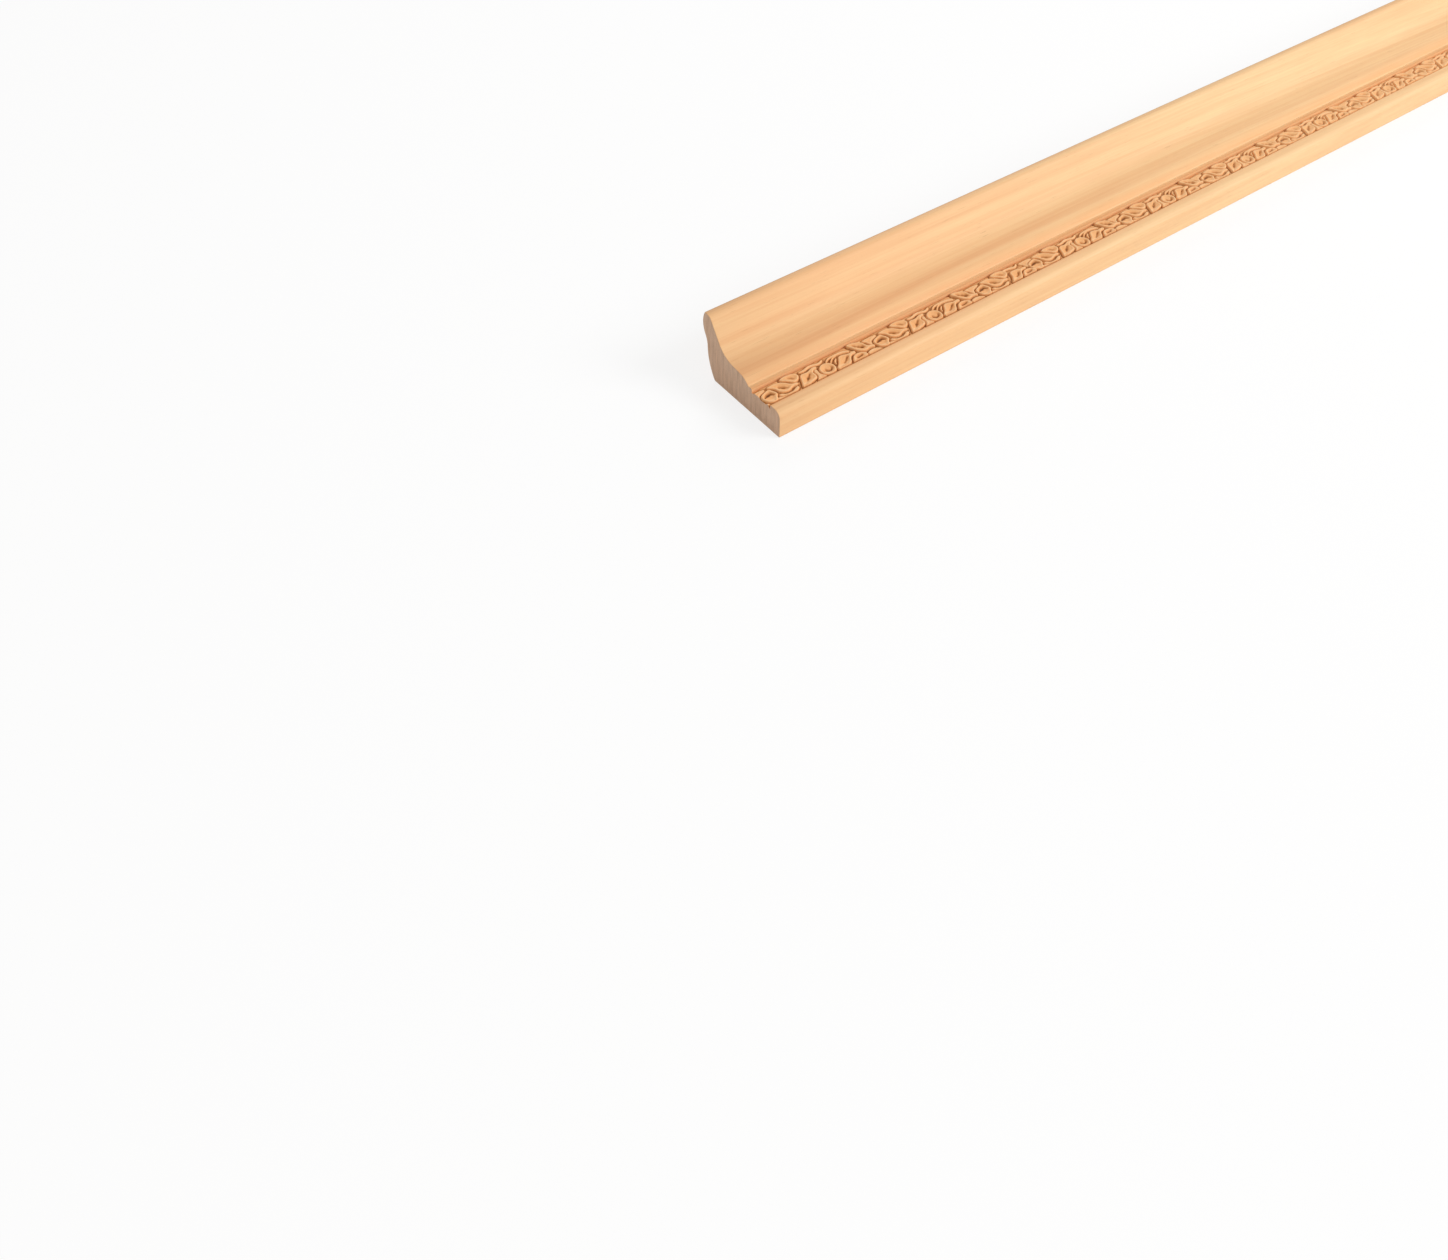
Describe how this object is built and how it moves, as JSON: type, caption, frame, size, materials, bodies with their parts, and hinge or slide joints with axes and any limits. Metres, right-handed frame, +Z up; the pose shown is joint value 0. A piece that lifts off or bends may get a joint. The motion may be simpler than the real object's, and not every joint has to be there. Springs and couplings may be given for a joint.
{
  "type": "carved wood moulding",
  "caption": "Straight wooden panel moulding with an ogee section, a beaded crest, a flat back and a band of pressed vine ornament.",
  "frame": {"origin": "middle of the length and of the width, on the plane of the flat back", "axes": "+X along the length, +Y from the low front edge to the crest side, +Z up from the flat back"},
  "size_m": [1.2192, 0.0318, 0.0191],
  "materials": {
    "wood": "bare, fine sanded, pressed ornament lightly browned"
  },
  "bodies": {
    "root": {"moulding": "wood"}
  },
  "joints": []
}
